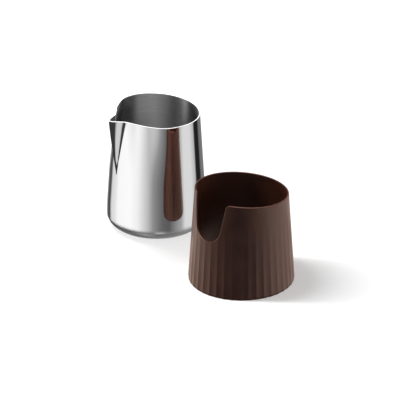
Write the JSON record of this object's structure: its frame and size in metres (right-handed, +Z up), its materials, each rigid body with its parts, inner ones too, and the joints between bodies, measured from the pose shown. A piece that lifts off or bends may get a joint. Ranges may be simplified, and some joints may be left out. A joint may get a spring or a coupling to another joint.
{
  "type": "candle melting pot",
  "caption": "Handle-less polished steel pouring jug with a pressed spout and slanted rim, beside a notched, fluted brown sleeve that slips over it.",
  "frame": {"origin": "centre of the jug's base, on the surface it stands on", "axes": "+Z up along the jug's axis; -X towards the pouring spout; the sleeve stands on the -Y side"},
  "size_m": [0.1034, 0.23, 0.115],
  "materials": {
    "steel": "mirror polished outside, brushed around inside",
    "brown_plastic": "satin moulded"
  },
  "bodies": {
    "jug": {"jug": "steel"},
    "sleeve": {"sleeve": "brown_plastic"}
  },
  "joints": [
    {"name": "sleeve_lift", "type": "slide", "parent": "jug", "child": "sleeve", "axis": [0, 0, 1], "range_m": [0, 0.12]}
  ]
}
